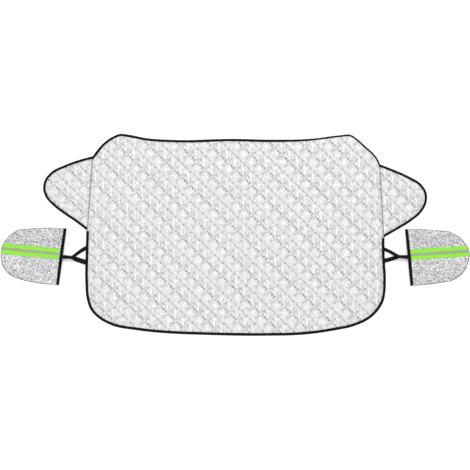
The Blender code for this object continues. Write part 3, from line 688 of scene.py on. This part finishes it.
def quilting_stitches(name, cloth_piece, outline, pit):
    """Thread along the seams of the quilting, in the bottom of each."""
    points = np.zeros(len(cloth_piece.data.vertices) * 3)
    cloth_piece.data.vertices.foreach_get("co", points)
    points = points.reshape(-1, 3)
    points = points[points[:, 2] > HEM_BOTTOM + 0.0003]
    cells = TO_STEPS @ (points[:, :2] - pit).T
    low, high = np.floor(cells.min(axis=1)), np.ceil(cells.max(axis=1))
    pitch = 1 / 6.5             # of a step from one seam crossing to the next
    rows = [2 * k + shift for k in np.arange(low[0] / 2 - 1, high[0] / 2 + 1).round()
            for shift in (0.0, SECOND_ROW)]
    columns = np.arange(low[1] - 1, high[1] + 1) + CROSS_SEAM
    starts = [(s, t) for s in rows for t in np.arange(low[1], high[1], pitch)]
    ways = [(0.0, pitch * 0.6)] * len(starts)
    across = [(s, t) for t in columns for s in np.arange(low[0], high[0], pitch)]
    starts, ways = np.array(starts + across), np.array(ways + [(pitch * 0.6, 0.0)] * len(across))
    a, b = starts @ BASIS + pit, (starts + ways) @ BASIS + pit
    keep = inside(a, outline) & inside(b, outline)
    a, b = a[keep], b[keep]
    keep = near(a, np.concatenate([outline, outline[:1]])) > 0.012   # clear of the tape
    a, b = a[keep], b[keep]
    bars(name, laid(a, points, 0.0001), laid(b, points, 0.0001), QUILTING_THREAD, silver_thread)


quilting_stitches("main_panel_stitches", panel, panel_edge, PANEL_PIT)
for side, run, seam, pit in EARS:
    quilting_stitches(side + "_ear_stitches", ears[side], ear_edges[side], pit)
    low, high = sorted([tuple(seam[0]), tuple(seam[1])], key=lambda p: p[1])
    line = resampled(np.array([low, high]), SAMPLE)[1:-1]
    level = np.full((len(line), 1), EAR_SEAM_LEVEL)
    tube(side + "_ear_seam", np.hstack([line, level]), 0.0027, 0.0009, seam_tape)
    zigzag = line[:, 0] + np.where(np.arange(len(line)) % 2, 0.0018, -0.0018)
    sewn(side + "_ear_seam_stitches", [np.column_stack([zigzag, line[:, 1], level + 0.0008])],
         0.9, grey_thread)


# Bindings

def tape_section(wide):
    """Points across the folded tape: how far in from its outer edge, and how high."""
    fold = BINDING_HEIGHT / 2
    arc = [(fold * (1 - cos(a)), fold * (1 + sin(a))) for a in np.radians(np.arange(-90, 91, 22.5))]
    tip = BINDING_THICK / 2
    top = BINDING_HEIGHT
    lower = [(wide, tip * 0.5), (wide - tip, 0.0)]
    upper = [(wide * 0.5, top), (wide - 0.002, top - 0.00015), (wide - tip, top),
             (wide, top - tip * 0.5), (wide - tip * 0.3, top - 2 * tip)]
    inner = [(0.0012, top - 2 * tip), (0.0009, fold), (0.0012, 2 * tip), (wide - tip * 0.3, 2 * tip)]
    return lower + arc + upper + inner


def narrowed(x):
    """How far the narrowing of a tape towards the right has come, from 0 to 1."""
    return ease((x - 0.15) / 0.35)


def binding(name, rail, wide, seed, pull=0.0):
    """The folded tape along a rail, which gives its fold's line moved in by a distance.

    A pull is how much narrower it gets towards the right.
    """
    rows = []
    for inward, height in tape_section(wide):
        line = rail(inward)
        x, y = line.T
        ripple = (0.0005 * noise(x, y, 0.022, seed) - pull * narrowed(x)) * (inward / wide)
        rows.append(np.column_stack([rail(inward + ripple), np.full(len(line), height)]))
    grid = np.stack(rows, axis=1)
    count, across = grid.shape[:2]
    points = grid.reshape(-1, 3)
    last = (count - 1) * across
    faces = strips(count, across, closed=True)
    faces += [tuple(range(across))[::-1], tuple(range(last, last + across))]
    piece(name + "_tape", points, faces, black_tape, [name])
    stitch_line = rail(wide - 0.0022 - pull * narrowed(rail(wide)[:, 0]))
    high = np.full((len(stitch_line), 1), BINDING_HEIGHT)
    sewn(name + "_stitches", [np.hstack([stitch_line, high])], 0.62, black_thread)


binding("top_binding", lambda by: to_seams(shifted(top_run, by - HALF_TAPE),
                                           shifted(left_seam, HALF_GAP), shifted(right_seam, HALF_GAP)),
        TOP_TAPE, 51, pull=TOP_TAPE_PULL)
binding("bottom_binding", lambda by: shifted(bottom_run, by - HALF_TAPE), PANEL_TAPE, 52)
for side, run, seam, _ in EARS:
    sewn_side = shifted(seam, -HALF_GAP)
    binding(side + "_ear_binding",
            lambda by: to_seams(shifted(run, by - HALF_TAPE), sewn_side, sewn_side), EAR_TAPE, 53)


# Pouches

def skin(node, name, cuts):
    """The upper surface of a packed sheet, cut finer and smoothed, as points and quads."""
    bm = bmesh.new()
    bm.from_mesh(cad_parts[node].data)
    bmesh.ops.remove_doubles(bm, verts=bm.verts, dist=0.00001)
    bmesh.ops.delete(bm, geom=[f for f in bm.faces if f.normal.z < 0.2], context='FACES')
    bmesh.ops.join_triangles(bm, faces=bm.faces, angle_face_threshold=pi, angle_shape_threshold=pi)
    mesh = bpy.data.meshes.new(name)
    bm.to_mesh(mesh)
    bm.free()
    obj = bpy.data.objects.new(name, mesh)
    bpy.context.scene.collection.objects.link(obj)
    finer = obj.modifiers.new("finer", 'SUBSURF')
    finer.levels = cuts
    finer.boundary_smooth = 'PRESERVE_CORNERS'
    bpy.context.view_layer.update()
    done = bpy.data.meshes.new_from_object(obj.evaluated_get(bpy.context.evaluated_depsgraph_get()))
    bpy.data.objects.remove(obj)
    points = np.zeros(len(done.vertices) * 3)
    done.vertices.foreach_get("co", points)
    faces = [tuple(f.vertices) for f in done.polygons]
    return points.reshape(-1, 3), faces


def rim_of(faces):
    """The open edge of a surface as vertex numbers in order."""
    seen = {}
    for f in faces:
        for a, b in zip(f, f[1:] + f[:1]):
            seen[a, b] = True
    after = {a: b for a, b in seen if (b, a) not in seen}
    loop = [next(iter(after))]
    while after[loop[-1]] != loop[0]:
        loop.append(after[loop[-1]])
    return loop


def thick(obj, by):
    """Gives a surface the thickness of its cloth, downwards."""
    mod = obj.modifiers.new("cloth", 'SOLIDIFY')
    mod.thickness = by
    mod.offset = -1.0


pouches, tape_lengths = {}, {}
for side, mouth in MOUTHS.items():
    seed = 60 if side == "left" else 70
    points, faces = skin(side + "_pouch_front", side + "_front_skin", 4)
    loop = rim_of(faces)
    rim = points[loop]
    closed = np.concatenate([rim, rim[:1]])
    edge_line = closed[:, :2]

    def sway(x, y, edge):
        """Soft folds that the front and what is sewn on it share."""
        away = ease((edge - 0.018) / 0.03)
        return (0.0022 * noise(x, y * 0.6, 0.05, seed) + 0.0012 * noise(x, y, 0.024, seed + 1)) * away

    x, y, z = points.T
    edge = near(points[:, :2], edge_line)
    crumple = ease((edge - 0.004) / 0.01)
    dent = (-np.abs(0.0010 * noise(x, y, 0.010, seed + 2))
            - np.abs(0.0008 * noise(x, y, 0.006, seed + 3)))
    front = np.column_stack([x, y, z + sway(x, y, edge) + dent * crumple])
    front_piece = piece(side + "_pouch_front_cloth", front, faces, pouch_foil, [side + "_pouch_front"],
                        sharp=180)
    # Painted light: the lower half of the front is painted lighter
    lower = y < -0.08
    speckle = 0.10 * noise(x, y, 0.0075, seed + 4) + 0.25 * noise(x, y, 0.0045, seed + 5)
    near_end, far_end = np.array(TAPES[side])
    along = far_end - near_end
    by_tape = (front[:, :2] - near_end) @ right_of(along)
    far = ease(((front[:, :2] - near_end) @ along) / 0.08)
    # Painted highlight on the foil along both edges of the hi-vis tape, coming in over the first 8 cm
    # from its near end
    painted_highlight = 0.15 * far * np.exp(-((np.abs(by_tape) - TAPE_WIDTH / 2) / 0.010) ** 2)
    number(front_piece, "tone_and_painted_light",
           1 + speckle + painted_highlight + np.where(lower, 0.10, 0.0) + 0.04 * noise(x, y, 0.05, seed))
    thick(front_piece, FRONT_CLOTH)
    back_points, back_faces = skin(side + "_pouch_back", side + "_back_skin", 2)
    back_piece = piece(side + "_pouch_back_cloth", back_points, back_faces, pouch_foil,
                       [side + "_pouch_back"], sharp=180)
    number(back_piece, "tone_and_painted_light", np.ones(len(back_points)))
    thick(back_piece, BACK_CLOTH)
    for node, look, thin in (("hi_vis_tape", hi_vis, TAPE_CLOTH),
                             ("reflective_strip", reflective, STRIP_CLOTH)):
        spots, quads = skin(side + "_" + node, node, 4)
        tx, ty, tz = spots.T
        spots = np.column_stack([tx, ty, tz + sway(tx, ty, near(spots[:, :2], edge_line))])
        tape = piece(side + "_" + node + "_cloth", spots, quads, look, [side + "_" + node],
                     sharp=180)
        thick(tape, thin)
        tape_lengths[side + "_" + node] = np.ptp(spots[:, :2] @ along) / np.linalg.norm(along)
        if node == "hi_vis_tape":
            tape_points = spots
    way = np.array(mouth[1]) - mouth[0]
    off_mouth = np.abs((rim[:, :2] - mouth[0]) @ right_of(way))
    start = next(k for k in range(len(rim)) if off_mouth[k - 1] < 0.002 <= off_mouth[k])
    around = np.roll(rim, -start, axis=0)
    around = resampled(around[np.roll(off_mouth, -start) > 0.002], 0.003)
    around[:, 2] = PIPING_LEVEL
    turn = int(np.argmax(np.abs(around[:, 0])))
    low_part, high_part = around[:turn + 1], around[turn:]
    if low_part[:, 1].mean() > high_part[:, 1].mean():
        low_part, high_part = high_part, low_part
    # The lower piping is painted darker than the upper: painted shade along the pouch's lower rim
    tube(side + "_pouch_low_piping", low_part, 0.0020, PIPING_LEVEL, painted_shade_piping)
    tube(side + "_pouch_top_piping", high_part, 0.0016, PIPING_LEVEL, piping)
    inward = 1 if inside(shifted(around[:, :2], 0.005)[5:6], rim[:, :2])[0] else -1
    rim_line = shifted(around[:, :2], inward * RIM_STITCHES)[4:-4]
    sewn(side + "_pouch_rim_stitches", [laid(rim_line, front, 0.0003)], 0.65, grey_thread)
    lines = []
    for off in (-TAPE_STITCHES, TAPE_STITCHES):
        run = resampled(np.array([near_end, far_end]), SAMPLE)
        run = run + right_of(run[-1] - run[0]) * off
        run = run[near(run, edge_line) > 0.006]
        lines.append(laid(run, tape_points, 0.0002))
    sewn(side + "_hi_vis_tape_stitches", lines, 0.65, hi_vis_thread)
    pouches[side] = (front_piece, back_piece, rim[:, :2])


# Straps

def rolled(flat, angle, share=1.0):
    """Half width and half thickness of webbing rolled from flat about its length."""
    return (np.array((*(flat * cos(angle)), -sin(angle))) * HALF_WEB * share,
            np.array((*(flat * sin(angle)), cos(angle))) * HALF_PLY)


def strap_rows(side):
    """Middle, half width and half thickness along a strap, from the upper leg to the lower one."""
    start, roll, panel_x, leg_ends, shares = STRAPS[side]
    start, roll = np.array(start), np.array(roll)
    a, b = np.array(MOUTHS[side])
    along_mouth = (b - a) / np.linalg.norm(b - a)
    way = (roll - start) / np.linalg.norm(roll - start)
    flat = right_of(way) * (1 if right_of(way)[1] > 0 else -1)
    ply, legs = {1: [], -1: []}, {1: [], -1: []}
    # The two plies from the pouch to the crossing, and from there the legs, unrolling
    for sign, end_y, share in zip((1, -1), leg_ends, shares):
        for t in np.arange(9) / 8:
            angle = ROLL_AT_POUCH + (ROLL_AT_CROSSING - ROLL_AT_POUCH) * ease(t * 1.4)
            face = along_mouth + (flat - along_mouth) * ease(t)
            wide, thin = rolled(face / np.linalg.norm(face), angle)
            rise = HALF_WEB * sin(angle) + (APART + HALF_PLY) * cos(angle) + OFF_FLOOR
            ply[sign].append((np.array((*(start + (roll - start) * t), rise))
                              + thin * (APART / HALF_PLY * sign), wide, thin))
        first, end = roll + flat * (APART * sign), np.array((panel_x, end_y))
        reach = np.linalg.norm(end - first)
        heading = (end - first) / reach
        leave, arrive = (heading * 0.8 + way * 0.2) * reach, (heading * 0.6 + way * 0.4) * reach
        for t in np.arange(1, 13) / 12:
            middle = (first * (2 * t**3 - 3 * t**2 + 1) + leave * (t**3 - 2 * t**2 + t)
                      + end * (3 * t**2 - 2 * t**3) + arrive * (t**3 - t**2))
            angle = ROLL_AT_CROSSING * (1 - ease(t / 0.5))
            face = flat + (np.array((0.0, 1.0)) - flat) * ease(t)
            size = 1 - (1 - share) * ease(t / 0.4)
            wide, thin = rolled(face / np.linalg.norm(face), angle, size)
            over = (BINDING_HEIGHT + 0.0003) * ease((t - 0.3) / 0.42)
            rise = HALF_WEB * size * sin(angle) + HALF_PLY * cos(angle) + OFF_FLOOR + over
            legs[sign].append((np.array((*middle, rise)), wide, thin))
    # The fold itself, half a turn round
    top, wide, thin = ply[1][0]
    away = np.array((*way, 0.0))
    lift = thin / HALF_PLY
    fold = [(top + (lift * (cos(a) - 1) - away * sin(a)) * APART, wide,
             (lift * cos(a) - away * sin(a)) * HALF_PLY) for a in (pi * k / 6 for k in range(1, 6))]
    lower = [(middle, wide, -thin) for middle, wide, thin in ply[-1] + legs[-1]]
    rows = legs[1][::-1] + ply[1][::-1] + fold + lower
    return np.array([np.concatenate(row) for row in rows])


def webbing(name, rows, ribs, look, replaces):
    """Webbing through its stations, with ribs along it and soft edges."""
    n = len(rows)
    padded_rows = np.concatenate([rows[:1] * 2 - rows[1:2], rows, rows[-1:] * 2 - rows[-2:-1]])
    fine = []
    for k in range(n - 1):
        a, b, c, d = padded_rows[k:k + 4]
        for t in np.arange(4) / 4:
            fine.append(0.5 * (2 * b + (c - a) * t + (2 * a - 5 * b + 4 * c - d) * t**2
                               + (3 * b - a - 3 * c + d) * t**3))
    fine = np.array(fine + [rows[-1]])
    middle, wide, thin = fine[:, None, :3], fine[:, None, 3:6], fine[:, None, 6:]
    across = np.linspace(-1, 1, 4 * ribs + 1)
    body = (0.9 + 0.1 * np.cos(across * ribs * pi)) * np.sqrt(np.maximum(1 - across**10, 0.12))
    body = body[None, :, None]
    a = across[None, :, None]
    upper, lower = middle + wide * a + thin * body, middle + wide * a - thin * body
    grid = np.concatenate([upper, lower[:, ::-1]], axis=1)
    count, around = grid.shape[:2]
    faces = strips(count, around, closed=True)
    last = (count - 1) * around
    faces += [tuple(range(around))[::-1], tuple(range(last, last + around))]
    obj = piece(name, grid.reshape(-1, 3), faces, look, replaces, sharp=60)
    length = np.concatenate([[0], np.cumsum(np.linalg.norm(np.diff(fine[:, :3], axis=0), axis=1))])
    number(obj, "along", np.repeat(length, around))
    number(obj, "across", np.tile(np.concatenate([across, across[::-1]]) / 2 + 0.5, count))
    return obj, length[-1]


for side, inward in (("left", 1), ("right", -1)):
    rows = strap_rows(side)
    webbing(side + "_strap_webbing", rows, 8, black_web, [side + "_strap"])
    tacks = []
    for end in (rows[0], rows[-1]):
        for back in (0.0015, 0.0045):
            reach = np.array((0.0, 0.9 * abs(end[4]), 0.0))
            place = end[:3] - np.array((inward * back, 0.0, -HALF_PLY))
            tacks.append(np.stack([place - reach, place + reach]))
    sewn(side + "_strap_stitches", tacks, 0.7, black_thread, pitch=0.0035)
    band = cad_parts[side + "_pouch_mouth_band"]
    band.data.materials.clear()
    band.data.materials.append(band_web)


# The way each piece of cloth lies in plan, made a unit vector and not used further

def cut(way=(1.0, 0.0)):
    """Makes a way in plan a unit vector, and does nothing else with it."""
    way = np.array(way) / np.linalg.norm(way)


cut()
for side, run, seam, _ in EARS:
    cut()
    mouth_way = np.array(MOUTHS[side][1]) - MOUTHS[side][0]
    front_piece, back_piece, rim = pouches[side]
    cut(mouth_way)
    cut(mouth_way)


# Floor, light and camera

def floor_look():
    """Plain near-white, with the faintest unevenness."""
    look = Look("floor", roughness=0.9, specular=0.1)
    return look.finish(look.scaled((0.93, 0.93, 0.93, 1), look.spread(look.noise(0.4), 0.99, 1.01)))


mesh = bpy.data.meshes.new("floor")
mesh.from_pydata([(-30, -30, -0.0004), (30, -30, -0.0004), (30, 30, -0.0004), (-30, 30, -0.0004)],
                 [], [(0, 1, 2, 3)])
floor = bpy.data.objects.new("floor", mesh)
mesh.materials.append(floor_look())
bpy.context.scene.collection.objects.link(floor)

scene = bpy.context.scene
scene.view_settings.view_transform = 'Standard'
world = bpy.data.worlds.new("studio")
world.use_nodes = True
world.node_tree.nodes["Background"].inputs["Color"].default_value = (1, 1, 1, 1)
world.node_tree.nodes["Background"].inputs["Strength"].default_value = 0.96
scene.world = world


def lamp(name, place, size, power):
    """A round soft light that faces the middle of the cover."""
    light = bpy.data.lights.new(name, 'AREA')
    light.shape = 'DISK'
    light.size = size
    light.energy = power
    obj = bpy.data.objects.new(name, light)
    obj.location = place
    obj.rotation_euler = Vector(place).to_track_quat('Z', 'Y').to_euler()
    scene.collection.objects.link(obj)


lamp("key", (0.6, 3.0, 4.6), 1.6, 95)
lamp("fill", (-1.0, -2.4, 4.8), 3.0, 60)

camera = bpy.data.objects.new("camera", bpy.data.cameras.new("camera"))
camera.data.lens = LENS
camera.data.sensor_width = SENSOR
camera.location = (-0.0020, -0.0015, FRAME / 2 * PIXEL / (SENSOR / 2 / LENS))
camera.data.clip_end = 100
scene.collection.objects.link(camera)
scene.camera = camera
